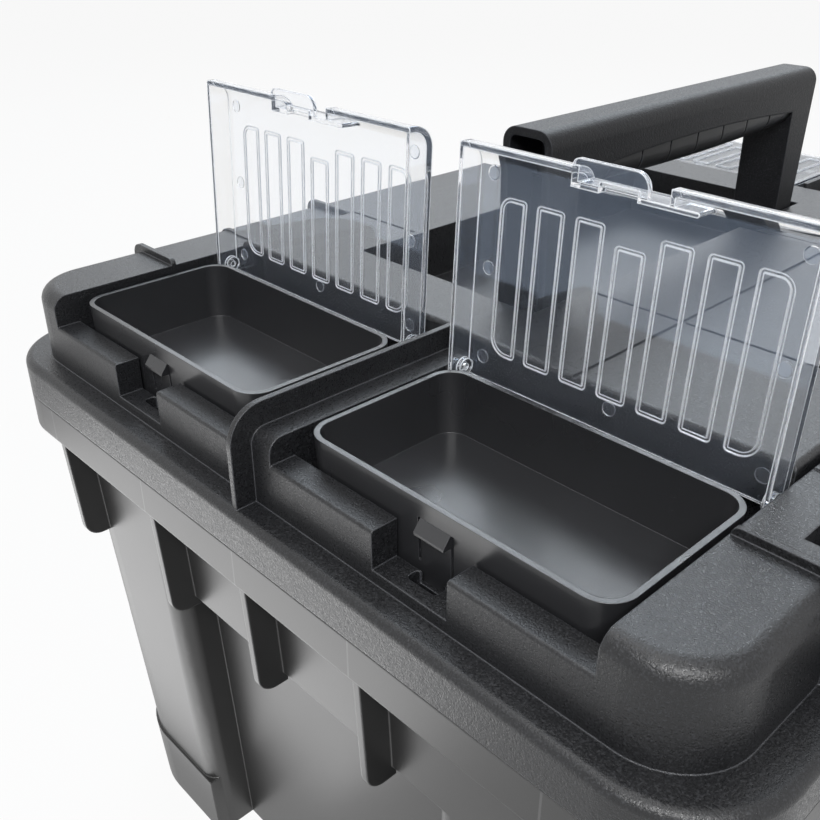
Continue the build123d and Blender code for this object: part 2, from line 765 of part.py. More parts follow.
def handle_end(wall):
    """End view of the handle about its axis: round foot, straight sides and rounded shoulders."""
    half = handle_width / 2 - wall
    top = handle_rise - wall
    shoulder = handle_shoulder - wall
    with BuildSketch(handle_end_plane) as end:
        Circle(half)
        with BuildLine():
            FilletPolyline(
                (-half, 0), (-half, top), (half, top), (half, 0), radius=(0, shoulder, shoulder, 0), close=True
            )
        make_face()
    return end.sketch


# Room inside the handle: a channel open at its ends and below, shut off from the window by the webs of the legs
with BuildPart() as handle_room:
    with BuildSketch(handle_side_plane):
        with Locations((0, -handle_width)):
            Rectangle(handle_length + overrun, handle_rise + handle_width - handle_wall, align=(Align.CENTER, Align.MIN))
        with BuildLine():
            Polyline(
                (leg_inner_foot, -handle_width),
                (leg_inner_foot, -handle_width / 2),
                (leg_inner_top, arch_end),
                (leg_inner_top + handle_wall, arch_end),
                (leg_inner_foot + handle_wall, -handle_width / 2),
                (leg_inner_foot + handle_wall, -handle_width),
                close=True,
            )
        web = make_face(mode=Mode.PRIVATE)
        add(web, mode=Mode.SUBTRACT)
        add(web.mirror(Plane.YZ), mode=Mode.SUBTRACT)
    extrude(amount=handle_width, both=True)
    extrude(handle_end(handle_wall), amount=handle_length, both=True, mode=Mode.INTERSECT)

# Handle shell
with BuildPart() as handle_shell:
    with BuildSketch(handle_side_plane):
        with BuildLine():
            Polyline(
                (0, arch_mid),
                (0, handle_rise),
                (handle_length / 2, handle_rise),
                (handle_length / 2 - leg_lean, -handle_width / 2),
                (leg_inner_foot, -handle_width / 2),
                (leg_inner_top, arch_end),
            )
            RadiusArc((leg_inner_top, arch_end), (0, arch_mid), -arch_radius)
        make_face()
        mirror(about=Plane.YZ)
    extrude(amount=handle_width / 2, both=True)
    extrude(handle_end(0), amount=handle_length, both=True, mode=Mode.INTERSECT)
    add(handle_room.part, mode=Mode.SUBTRACT)
    for way in (-1, 1):
        with BuildSketch(handle_end_plane.offset(way * (leg_inner_foot + handle_wall / 2))):
            Circle(handle_pin_radius + running_clearance + handle_boss_wall)
        extrude(amount=way * (leg_foot_width - handle_wall))
    with BuildSketch(handle_end_plane):
        Circle(handle_pin_radius + running_clearance)
    extrude(amount=handle_length, both=True, mode=Mode.SUBTRACT)
finish(handle_shell, "handle_shell")


def belly(inset):
    """The part of the grip that the fingers close round, drawn in from its sides and underside."""
    end = leg_inner_top - grip_gap
    low_end = arch_end - grip_end_height + inset
    low_mid = arch_mid - grip_belly + inset
    with BuildPart() as form:
        with BuildSketch(handle_side_plane):
            with BuildLine():
                Line((-end, low_end), (-end, arch_end - grip_gap))
                ThreePointArc((-end, arch_end - grip_gap), (0, arch_mid - grip_gap), (end, arch_end - grip_gap))
                Line((end, arch_end - grip_gap), (end, low_end))
                ThreePointArc((end, low_end), (0, low_mid), (-end, low_end))
            make_face()
        extrude(amount=handle_width / 2 - grip_side_setback - inset, both=True)
        under = form.faces().sort_by(Axis.Z)[0]
        fillet(under.edges().filter_by(lambda edge: edge.length > end), grip_round - inset)
    return form.part


# Grip insert: a tongue up in the channel, and a belly cut across by finger grooves
with BuildPart() as handle_grip:
    add(belly(0))
    with BuildSketch(handle_side_plane):
        with GridLocations(ridge_pitch, 0, ridge_count, 1):
            Rectangle(ridge_groove, 2 * handle_rise)
    extrude(amount=handle_width, both=True, mode=Mode.SUBTRACT)
    add(belly(ridge_depth))
    with BuildSketch(handle_side_plane):
        with Locations((0, arch_end - grip_end_height / 2)):
            tongue_length = 2 * (leg_inner_top - grip_gap)
            tongue_height = bar_arch + grip_end_height / 2 + grip_tongue_height
            Rectangle(tongue_length, tongue_height, align=(Align.CENTER, Align.MIN))
    extrude(amount=handle_width / 2 - handle_wall - grip_gap, both=True)
finish(handle_grip, "handle_grip")

# Handle pins, headed outside the well and running in the bosses of the legs
for name, way in (("handle_pin_left", -1), ("handle_pin_right", 1)):
    with BuildPart() as handle_pin:
        with BuildSketch(handle_end_plane.offset(way * leg_inner_foot)):
            Circle(handle_pin_radius)
        extrude(amount=way * (well_half_length + deck_wall - leg_inner_foot))
        with BuildSketch(handle_end_plane.offset(way * (well_half_length + deck_wall))):
            Circle(handle_pin_head_radius)
        extrude(amount=way * handle_pin_head)
    finish(handle_pin, name)


def latch_frame(place):
    """Frame of a latch on its pin: X outwards, Y up when latched, swung out by the release angle."""
    swing = radians(latch_release_angle)
    return Plane(
        origin=(place, -latch_axis, latch_axis_level),
        x_dir=(0, -cos(swing), sin(swing)),
        z_dir=(-1, 0, 0),
    )


# Latches: an arm from the pin over the rim, a plate down the front, a hook under the band and a thumb tail
plate_back = rim_width / 2 + latch_rim_gap - latch_axis
plate_front = plate_back + latch_thickness
hook_top = band_bottom - latch_hook_gap - latch_axis_level
hook_low = hook_top - latch_hook_height
tail_low = hook_low - latch_tail_drop
arm_half = latch_pocket_width / 2 - latch_side_gap
for name, place in zip(("latch_left", "latch_right"), latch_places):
    frame = latch_frame(place)
    with BuildPart() as latch:
        with BuildSketch(frame):
            with BuildLine():
                FilletPolyline(
                    (0, latch_knuckle_radius),
                    (plate_front, latch_knuckle_radius),
                    (plate_front, -latch_plate_drop),
                    (plate_back, -latch_plate_drop),
                    (plate_back, -latch_knuckle_radius),
                    (0, -latch_knuckle_radius),
                    radius=(0, latch_corner, 0, 0, latch_thickness / 2, 0),
                    close=True,
                )
            make_face()
            Circle(latch_knuckle_radius)
            with BuildLine():
                Polyline(
                    (plate_back + latch_thickness / 2, hook_top),
                    (rim_width / 2 - latch_hook_lap - latch_axis, hook_top),
                    (plate_back, hook_low),
                    (plate_back + latch_thickness / 2, hook_low),
                    close=True,
                )
            make_face()
        extrude(amount=arm_half, both=True)
        with BuildSketch(frame):
            with BuildLine():
                Polyline(
                    (plate_back, -latch_plate_drop),
                    (plate_front, -latch_plate_drop),
                    (plate_front, hook_low),
                    (plate_front + latch_tail_flare, tail_low),
                    (plate_back + latch_tail_flare, tail_low),
                    (plate_back, hook_low),
                    close=True,
                )
            make_face()
        extrude(amount=latch_plate_width / 2, both=True)
        tail_face = latch.faces().sort_by(Axis.Z)[0]
        fillet(tail_face.edges().filter_by(lambda edge: abs(edge.tangent_at(0).X) < pick_tolerance), latch_corner)
        front_plane = Plane(origin=frame.origin, x_dir=frame.z_dir, z_dir=frame.x_dir).offset(plate_front)
        with BuildSketch(front_plane):
            with Locations((0, (latch_plate_drop - hook_low) / 2)):
                RectangleRounded(thumb_recess_width, thumb_recess_height, latch_thickness)
        extrude(amount=-thumb_recess_depth, mode=Mode.SUBTRACT)
        with BuildSketch(frame):
            Circle(latch_pin_radius + running_clearance)
        extrude(amount=latch_plate_width, both=True, mode=Mode.SUBTRACT)
    finish(latch, name)
    with BuildPart() as latch_pin:
        with BuildSketch(Plane.YZ.offset(place)):
            with Locations((-latch_axis, latch_axis_level)):
                Circle(latch_pin_radius)
        extrude(amount=latch_pocket_width / 2 + latch_pin_seat, both=True)
    finish(latch_pin, name.replace("latch", "latch_pin"))

# Hinge pins at the back, through the knuckles of the bucket and the lid
for name, station in zip(("hinge_pin_left", "hinge_pin_right"), hinge_places):
    with BuildPart() as hinge_pin:
        with BuildSketch(Plane.YZ.offset(station)):
            with Locations((hinge_axis, hinge_level)):
                Circle(hinge_pin_radius)
        extrude(amount=hinge_lid_knuckle / 2 + hinge_side_gap + hinge_bucket_knuckle, both=True)
    finish(hinge_pin, name)
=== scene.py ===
"""Looks of the tool box: its plastics and steel, the marks on its covers, the studio and the camera.

Metres, +Z up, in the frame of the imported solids. X runs along the box and -Y is the latch side.
"""

import json
import logging
import math
from dataclasses import dataclass, field
from enum import Enum
from typing import Any, Dict, Optional, Sequence, Tuple, Union

import bpy
from mathutils import Euler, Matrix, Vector


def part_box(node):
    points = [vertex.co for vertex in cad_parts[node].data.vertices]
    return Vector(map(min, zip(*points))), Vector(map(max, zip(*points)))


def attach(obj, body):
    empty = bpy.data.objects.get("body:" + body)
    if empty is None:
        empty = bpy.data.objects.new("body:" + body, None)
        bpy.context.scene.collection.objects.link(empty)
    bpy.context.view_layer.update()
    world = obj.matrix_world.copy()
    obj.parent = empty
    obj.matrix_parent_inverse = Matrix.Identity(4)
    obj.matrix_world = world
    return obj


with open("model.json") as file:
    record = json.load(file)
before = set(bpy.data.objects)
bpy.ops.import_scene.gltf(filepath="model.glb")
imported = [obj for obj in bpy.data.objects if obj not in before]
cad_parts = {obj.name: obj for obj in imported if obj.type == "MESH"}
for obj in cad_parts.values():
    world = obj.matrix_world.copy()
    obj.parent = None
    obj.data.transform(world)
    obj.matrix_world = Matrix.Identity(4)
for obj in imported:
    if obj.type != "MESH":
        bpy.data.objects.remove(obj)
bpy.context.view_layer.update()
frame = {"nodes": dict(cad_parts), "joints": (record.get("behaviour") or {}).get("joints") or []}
LOG = logging.getLogger("tool_box")

# The ribs under the bucket's band: their places are shares of the rim's width.
RIM_WIDTH = 0.332
RIB_HALF = 0.0014
RIB_SHARES = (-0.371, -0.166, 0.0, 0.166, 0.371)

# The Mix node's colour sockets, by number because its other sockets have the same names.
MIX_FIRST = 6
MIX_SECOND = 7
MIX_RESULT = 2

# The middle of a noise's values.
NOISE_MEAN = 0.5

# The rays that see the studio as plain white.
WHITE_RAYS = ("Is Camera Ray", "Is Glossy Ray", "Is Transmission Ray")

# What edit mode picks, of vertices, edges and faces.
PICK_FACES = (False, False, True)

Colour = Tuple[float, float, float]
Point = Tuple[float, float, float]
Span = Tuple[float, float]
Value = Union["Wire", float]
WHITE: Colour = (1.0, 1.0, 1.0)


class Axis(Enum):
    """An axis of the object's own space."""

    X = "X"
    Y = "Y"
    Z = "Z"


class Grain(Enum):
    """How the mould's surface is finished, as the strength of its relief."""

    SPARKED = 1.0
    SATIN = 0.12


class Corner(Enum):
    """A corner of the lid, where an organiser sits."""

    LEFT_BACK = "left_back"
    LEFT_FRONT = "left_front"
    RIGHT_BACK = "right_back"
    RIGHT_FRONT = "right_front"


@dataclass(frozen=True)
class Mottle:
    """A noise over a surface: its size in metres, its octaves and how strong the fine ones are."""

    size: float
    detail: float
    roughness: float


class Wire:
    """The output of a shader node, with arithmetic written as Python expressions."""

    def __init__(self, graph: "Graph", socket: Optional[bpy.types.NodeSocket]) -> None:
        """Keep the socket and the graph that it belongs to."""
        self.graph = graph
        self.socket = socket

    def __add__(self, other: Value) -> "Wire":
        """Sum."""
        return self.graph.maths("ADD", self, other)

    __radd__ = __add__

    def __sub__(self, other: Value) -> "Wire":
        """Difference."""
        return self.graph.maths("SUBTRACT", self, other)

    def __rsub__(self, other: Value) -> "Wire":
        """Difference from a number."""
        return self.graph.maths("SUBTRACT", other, self)

    def __mul__(self, other: Value) -> "Wire":
        """Product."""
        return self.graph.maths("MULTIPLY", self, other)

    __rmul__ = __mul__

    def __abs__(self) -> "Wire":
        """The value without its sign."""
        return self.graph.maths("ABSOLUTE", self)

    def clamped(self) -> "Wire":
        """The value kept from 0 to 1."""
        raised = self.graph.maths("MAXIMUM", self, 0.0)
        return self.graph.maths("MINIMUM", raised, 1.0)


class Graph:
    """The node tree of one material or world."""

    def __init__(self, tree: bpy.types.NodeTree) -> None:
        """Empty the tree."""
        self.tree = tree
        tree.nodes.clear()

    def node(
        self,
        kind: str,
        settings: Optional[Dict[str, Any]] = None,
        inputs: Optional[Dict[Union[str, int], Any]] = None,
        output: Union[str, int] = 0,
    ) -> Wire:
        """Add one node.

        Args:
            kind: The node's type.
            settings: Its settings, which are set first.
            inputs: Values or wires by the name or number of the socket.
            output: The name or number of the output that is wanted.

        Returns:
            That output, or a wire without a socket where the node has no output.
        """
        made = self.tree.nodes.new(kind)
        for name, value in (settings or {}).items():
            setattr(made, name, value)
        for name, value in (inputs or {}).items():
            socket = made.inputs[name]
            if isinstance(value, Wire):
                self.tree.links.new(value.socket, socket)
            elif socket.type == "RGBA":
                socket.default_value = (*value, 1.0)
            else:
                socket.default_value = value
        return Wire(self, made.outputs[output] if made.outputs else None)

    def maths(self, operation: str, *values: Value) -> Wire:
        """Add a Math node.

        Args:
            operation: The Math node's operation.
            values: Its inputs in order.

        Returns:
            The node's result.
        """
        return self.node("ShaderNodeMath", {"operation": operation}, dict(enumerate(values)))

    def place(self) -> Wire:
        """Object coordinates."""
        return self.node("ShaderNodeTexCoord", output="Object")

    def along(self, axis: Axis) -> Wire:
        """The object coordinate along one axis."""
        return self.node("ShaderNodeSeparateXYZ", inputs={0: self.place()}, output=axis.value)

    def noise(self, mottle: Mottle) -> Wire:
        """A noise over the surface, from 0 to 1.

        Args:
            mottle: What the noise is like.

        Returns:
            The noise.
        """
        inputs = {
            "Vector": self.place(),
            "Scale": 1.0 / mottle.size,
            "Detail": mottle.detail,
            "Roughness": mottle.roughness,
        }
        return self.node("ShaderNodeTexNoise", inputs=inputs, output="Fac")

    def ramp(self, value: Wire, span: Span) -> Wire:
        """A value taken smoothly from 0 to 1 over a span.

        Args:
            value: The value.
            span: Where the result leaves 0 and where it reaches 1.

        Returns:
            The result.
        """
        low, high = span
        return self.node(
            "ShaderNodeMapRange",
            {"interpolation_type": "SMOOTHSTEP"},
            {"Value": value, "From Min": low, "From Max": high},
        )

    def blend(self, factor: Wire, first: Union[Colour, Wire], second: Union[Colour, Wire]) -> Wire:
        """Two colours mixed by a factor."""
        inputs = {"Factor": factor, MIX_FIRST: first, MIX_SECOND: second}
        return self.node("ShaderNodeMix", {"data_type": "RGBA"}, inputs, MIX_RESULT)

    def stripe(self, axis: Axis, middle: float, half_width: float, fade: float) -> Wire:
        """1 in a slice of the object's own space, 0 outside it, with a soft border.

        Args:
            axis: The axis across the slice.
            middle: Where the middle of the slice is.
            half_width: Half of its width.
            fade: Width of its border.

        Returns:
            The mask.
        """
        away = abs(self.along(axis) - middle)
        return 1.0 - self.ramp(away, (half_width, half_width + fade))

    def rounded(self, radius: float, samples: int) -> Wire:
        """The normal with the edges of the shape rounded."""
        return self.node("ShaderNodeBevel", {"samples": samples}, {"Radius": radius})

    def edges(self, soft: Wire, span: Span) -> Wire:
        """1 along the edges of the shape and 0 on its faces.

        Args:
            soft: The normal with rounded edges.
            span: Turns of the rounded normal at which the mask starts and is full.

        Returns:
            The mask.
        """
        plain = self.node("ShaderNodeNewGeometry", output="Normal")
        agreement = self.node(
            "ShaderNodeVectorMath",
            {"operation": "DOT_PRODUCT"},
            {0: soft, 1: plain},
            "Value",
        )
        return self.ramp(1.0 - agreement, span)

    def bump(self, strength: float, depth: float, height: Wire, over: Optional[Wire] = None) -> Wire:
        """A normal tilted by a relief.

        Args:
            strength: The share of the relief that shows.
            depth: The depth of the relief in metres.
            height: The relief, from 0 to 1.
            over: The normal that it tilts, or None for the shape's own.

        Returns:
            The tilted normal.
        """
        inputs = {"Strength": strength, "Distance": depth, "Height": height}
        if over is not None:
            inputs["Normal"] = over
        return self.node("ShaderNodeBump", inputs=inputs)

    def layer(self, share: Value, under: Wire, over: Wire) -> Wire:
        """Two shaders mixed, with a share of the one that lies over the other."""
        return self.node("ShaderNodeMixShader", inputs={0: share, 1: under, 2: over})

    def show(self, shader: Wire, kind: str = "ShaderNodeOutputMaterial") -> None:
        """Lead a shader to the output of the tree."""
        self.node(kind, inputs={"Surface": shader})


def start_material(name: str) -> Tuple[bpy.types.Material, Graph]:
    """Start a material.

    Args:
        name: Its name.

    Returns:
        The material and its empty graph.
    """
    made = bpy.data.materials.new(name)
    made.use_nodes = True
    return made, Graph(made.node_tree)


def toned(colour: Colour, factor: float) -> Colour:
    """A colour made darker or paler by a factor."""
    red, green, blue = colour
    return (red * factor, green * factor, blue * factor)


@dataclass(frozen=True)
class MouldLine:
    """A thin upright line that the mould leaves across the bucket's band, at both ends, which the
    paint lightens as a painted highlight.
    """

    across: float
    half_width: float = 0.00022
    fade: float = 0.00025
    band_middle: float = 0.2097
    band_half: float = 0.0066
    band_face: float = 0.2210
    face_depth: float = 0.0006

    def mask(self, graph: Graph) -> Wire:
        """1 on the line.

        Args:
            graph: The graph that asks.

        Returns:
            The mask.
        """
        upright = graph.stripe(Axis.Y, self.across, self.half_width, self.fade)
        tall = graph.stripe(Axis.Z, self.band_middle, self.band_half, self.fade)
        face = (self.band_face - self.face_depth, self.band_face)
        at_end = graph.ramp(abs(graph.along(Axis.X)), face)
        return upright * tall * at_end


@dataclass(frozen=True)
class MouldedPlastic:
    """Dark moulded plastic with soft edges, a mould grain, light handling marks and a painted
    highlight along its edges and mould lines.
    """

    name: str
    colour: Colour
    grain: Grain
    roughness: float
    specular: float = 0.5
    grain_noise: Mottle = Mottle(0.00056, 2.0, 0.6)
    coarse_noise: Mottle = Mottle(0.001344, 1.0, 0.5)
    coarse_share: float = 0.5
    grain_depth: float = 0.00015
    grain_gloss: float = 0.0
    speckle_span: Span = (0.5, 0.72)
    speckle_share: float = 0.1
    rub_lift: float = 0.5
    tone_noise: Mottle = Mottle(0.06, 3.0, 0.55)
    tone_span: Span = (0.35, 0.65)
    tone_share: float = 0.14
    tone_gloss: float = 0.05
    scuff_noise: Mottle = Mottle(0.012, 6.0, 0.7)
    scuff_span: Span = (0.56, 0.74)
    scuff_share: float = 0.05
    edge_round: float = 0.0007
    edge_samples: int = 6
    edge_span: Span = (0.03, 0.2)
    # The painted highlight on edges and mould lines: how much paler it is than the colour, and its
    # share on the edges.
    highlight_lift: float = 7.0
    edge_highlight_share: float = 0.8
    lines: Tuple[MouldLine, ...] = ()
    # The share of the painted highlight on the mould lines.
    line_highlight_share: float = 0.8

    def material(self) -> bpy.types.Material:
        """Build the material.

        Returns:
            The finished material.
        """
        made, graph = start_material(self.name)
        soft = graph.rounded(self.edge_round, self.edge_samples)
        grain = graph.noise(self.grain_noise)
        tone = graph.noise(self.tone_noise)
        rough = self.roughness + (tone - NOISE_MEAN) * self.tone_gloss
        rough = rough + (grain - NOISE_MEAN) * self.grain_gloss
        height = self.relief(graph, grain)
        shader = graph.node(
            "ShaderNodeBsdfPrincipled",
            inputs={
                "Base Color": self.paint(graph, soft, grain, tone),
                "Roughness": rough.clamped(),
                "Specular IOR Level": self.specular,
                "Normal": graph.bump(self.grain.value, self.grain_depth, height, soft),
            },
        )
        graph.show(shader)
        return made

    def paint(self, graph: Graph, soft: Wire, grain: Wire, tone: Wire) -> Wire:
        """The colour: uneven, paler where it is scuffed or grained, with a painted highlight on the
        mould lines and the edges.

        Args:
            graph: The graph of the material.
            soft: The normal with rounded edges.
            grain: The noise of the grain.
            tone: The noise of the uneven tone.

        Returns:
            The colour.
        """
        deep = toned(self.colour, 1.0 - self.tone_share)
        pale = toned(self.colour, 1.0 + self.rub_lift)
        # The colour of the painted highlight on the edges and the mould lines.
        painted_highlight = toned(self.colour, 1.0 + self.highlight_lift)
        scuff = graph.ramp(graph.noise(self.scuff_noise), self.scuff_span) * self.scuff_share
        speckle = graph.ramp(grain, self.speckle_span) * self.speckle_share
        colour = graph.blend(graph.ramp(tone, self.tone_span), deep, self.colour)
        colour = graph.blend((scuff + speckle).clamped(), colour, pale)
        # A painted highlight on each mould line.
        for line in self.lines:
            colour = graph.blend(line.mask(graph) * self.line_highlight_share, colour, painted_highlight)
        # A painted highlight along the edges of the shape.
        return graph.blend(graph.edges(soft, self.edge_span) * self.edge_highlight_share, colour, painted_highlight)

    def relief(self, graph: Graph, grain: Wire) -> Wire:
        """The height of the grain, with coarser pits among it where the mould is sparked.

        Args:
            graph: The graph of the material.
            grain: The noise of the grain.

        Returns:
            The height.
        """
        if self.grain is Grain.SATIN:
            return grain
        return grain + graph.noise(self.coarse_noise) * self.coarse_share


@dataclass(frozen=True)
class ClearPlastic:
    """Clear polished plastic with the faint waviness of a moulding, a faint veil and a painted
    highlight along its edges.
    """

    name: str
    colour: Colour = (0.975, 0.983, 0.995)
    roughness: float = 0.015
    index: float = 1.52
    sheen: Colour = (0.55, 0.72, 1.0)
    wave_noise: Mottle = Mottle(0.018, 1.0, 0.4)
    wave_strength: float = 0.25
    wave_depth: float = 0.00012
    haze_noise: Mottle = Mottle(0.036, 4.0, 0.6)
    haze_span: Span = (0.45, 0.75)
    haze_roughness: float = 0.03
    cloud_colour: Colour = (0.70, 0.79, 0.95)
    cloud_share: float = 0.032
    # The pale shader of the painted highlight along the edges.
    edge_highlight_colour: Colour = (0.92, 0.95, 1.0)
    edge_roughness: float = 0.25
    edge_haze: float = 0.1
    edge_specular: float = 0.6
    edge_round: float = 0.0010
    edge_samples: int = 8
    edge_span: Span = (0.015, 0.14)
    edge_highlight_share: float = 0.95

    def material(self) -> bpy.types.Material:
        """Build the material.

        Returns:
            The finished material.
        """
        made, graph = start_material(self.name)
        wave = graph.noise(self.wave_noise)
        haze = graph.ramp(graph.noise(self.haze_noise), self.haze_span)
        clear = graph.node(
            "ShaderNodeBsdfPrincipled",
            inputs={
                "Base Color": self.colour,
                "Roughness": self.roughness + haze * self.haze_roughness,
                "IOR": self.index,
                "Specular Tint": self.sheen,
                "Transmission Weight": 1.0,
                "Normal": graph.bump(self.wave_strength, self.wave_depth, wave),
            },
        )
        # A painted highlight: a pale shader that is mixed in along the edges.
        bright = graph.node(
            "ShaderNodeBsdfPrincipled",
            inputs={
                "Base Color": self.edge_highlight_colour,
                "Roughness": self.edge_roughness + haze * self.edge_haze,
                "Specular IOR Level": self.edge_specular,
            },
        )
        cloud = graph.node("ShaderNodeBsdfDiffuse", inputs={"Color": self.cloud_colour})
        soft = graph.rounded(self.edge_round, self.edge_samples)
        # Where the painted highlight along the edges shows.
        edge = graph.edges(soft, self.edge_span) * self.edge_highlight_share
        body = graph.layer(self.cloud_share, clear, cloud)
        graph.show(graph.layer(edge, body, bright))
        return made


@dataclass(frozen=True)
class DrawnSteel:
    """Bright drawn steel with a fine relief and dull patches."""

    name: str
    colour: Colour
    roughness: float
    line_noise: Mottle = Mottle(0.0002, 2.0, 0.5)
    line_strength: float = 0.2
    line_depth: float = 0.00003
    dull_noise: Mottle = Mottle(0.004, 3.0, 0.6)
    dull_span: Span = (0.4, 0.7)
    dull_roughness: float = 0.12
    tarnish: float = 0.72

    def material(self) -> bpy.types.Material:
        """Build the material.

        Returns:
            The finished material.
        """
        made, graph = start_material(self.name)
        lines = graph.noise(self.line_noise)
        dull = graph.noise(self.dull_noise)
        tarnished = toned(self.colour, self.tarnish)
        shader = graph.node(
            "ShaderNodeBsdfPrincipled",
            inputs={
                "Base Color": graph.blend(graph.ramp(dull, self.dull_span), self.colour, tarnished),
                "Roughness": (self.roughness + dull * self.dull_roughness).clamped(),
                "Metallic": 1.0,
                "Normal": graph.bump(self.line_strength, self.line_depth, lines),
            },
        )
        graph.show(shader)
        return made


Finish = Union[MouldedPlastic, ClearPlastic, DrawnSteel]

BUCKET_PLASTIC = MouldedPlastic(
    "bucket_plastic",
    (0.017, 0.0169, 0.017),
    Grain.SATIN,
    roughness=0.38,
    specular=0.7,
    edge_round=0.0009,
    # The lift of the painted highlight on the edges and the mould lines.
    highlight_lift=4.0,
    # A painted highlight on the mould lines of the band, one at each rib.
    lines=tuple(MouldLine(share * RIM_WIDTH + RIB_HALF) for share in RIB_SHARES),
)
LID_PLASTIC = MouldedPlastic(
    "lid_plastic",
    (0.0125, 0.013, 0.0146),
    Grain.SPARKED,
    roughness=0.36,
    specular=0.48,
    grain_gloss=0.7,
    speckle_share=0.75,
    rub_lift=2.2,
)
HANDLE_PLASTIC = MouldedPlastic(
    "handle_plastic",
    (0.009, 0.0094, 0.0108),
    Grain.SPARKED,
    roughness=0.42,
    specular=0.22,
    grain_gloss=0.7,
    speckle_share=0.75,
    rub_lift=2.2,
)
GRIP_PLASTIC = MouldedPlastic(
    "grip_plastic",
    (0.010, 0.0102, 0.011),
    Grain.SATIN,
    roughness=0.42,
)
TRAY_PLASTIC = MouldedPlastic(
    "tray_plastic",
    (0.024, 0.0246, 0.0272),
    Grain.SATIN,
    roughness=0.28,
    specular=0.68,
    speckle_share=0.0,
    scuff_share=0.0,
    edge_round=0.0003,
    # A fainter painted highlight on the edges.
    highlight_lift=2.0,
)
LATCH_PLASTIC = MouldedPlastic(
    "latch_plastic",
    (0.012, 0.0122, 0.013),
    Grain.SATIN,
    roughness=0.34,
)
COVER_PLASTIC = ClearPlastic("cover_plastic")
# The marks carry half the painted highlight on their edges.
MARK_PLASTIC = ClearPlastic("mark_plastic", edge_round=0.0002, edge_highlight_share=0.5)
PIN_STEEL = DrawnSteel("pin_steel", (0.56, 0.57, 0.58), roughness=0.28)


@dataclass
class Dresser:
    """Gives finishes to nodes, each finish built once."""

    made: Dict[str, bpy.types.Material] = field(default_factory=dict)

    def material(self, finish: Finish) -> bpy.types.Material:
        """The material of a finish, built at its first use.

        Args:
            finish: The finish.

        Returns:
            Its material.
        """
        if finish.name not in self.made:
            self.made[finish.name] = finish.material()
        return self.made[finish.name]

    def dress(self, finish: Finish, names: Sequence[str]) -> None:
        """Give a finish to nodes of the frame.

        Args:
            finish: The finish.
            names: The nodes' names.
        """
        for name in names:
            for holder in frame["nodes"][name].material_slots:
                holder.material = self.material(finish)
            LOG.info("dressed %s with %s", name, finish.name)


@dataclass
class BucketAssembly:
    """The lower body with its hinge pins."""

    dresser: Dresser
    shell: str = "bucket"
    pins: Tuple[str, ...] = ("hinge_pin_left", "hinge_pin_right")

    def build(self) -> None:
        """Dress the bucket and its pins."""
        self.dresser.dress(BUCKET_PLASTIC, [self.shell])
        self.dresser.dress(PIN_STEEL, self.pins)


@dataclass
class LidAssembly:
    """The lid with its deck panel, trays, covers and latches."""

    dresser: Dresser
    shells: Tuple[str, ...] = ("lid_shell", "deck_panel")
    latches: Tuple[str, ...] = ("latch_left", "latch_right")
    fasteners: Tuple[str, ...] = ("deck_screws", "latch_pin_left", "latch_pin_right")

    def build(self) -> None:
        """Dress the pieces of the lid and model the marks on its covers."""
        self.dresser.dress(LID_PLASTIC, self.shells)
        self.dresser.dress(TRAY_PLASTIC, [f"tray_{corner.value}" for corner in Corner])
        self.dresser.dress(COVER_PLASTIC, [f"cover_{corner.value}" for corner in Corner])
        self.dresser.dress(LATCH_PLASTIC, self.latches)
        self.dresser.dress(PIN_STEEL, self.fasteners)
        for corner in Corner:
            CoverMarks(self.dresser, corner).build()


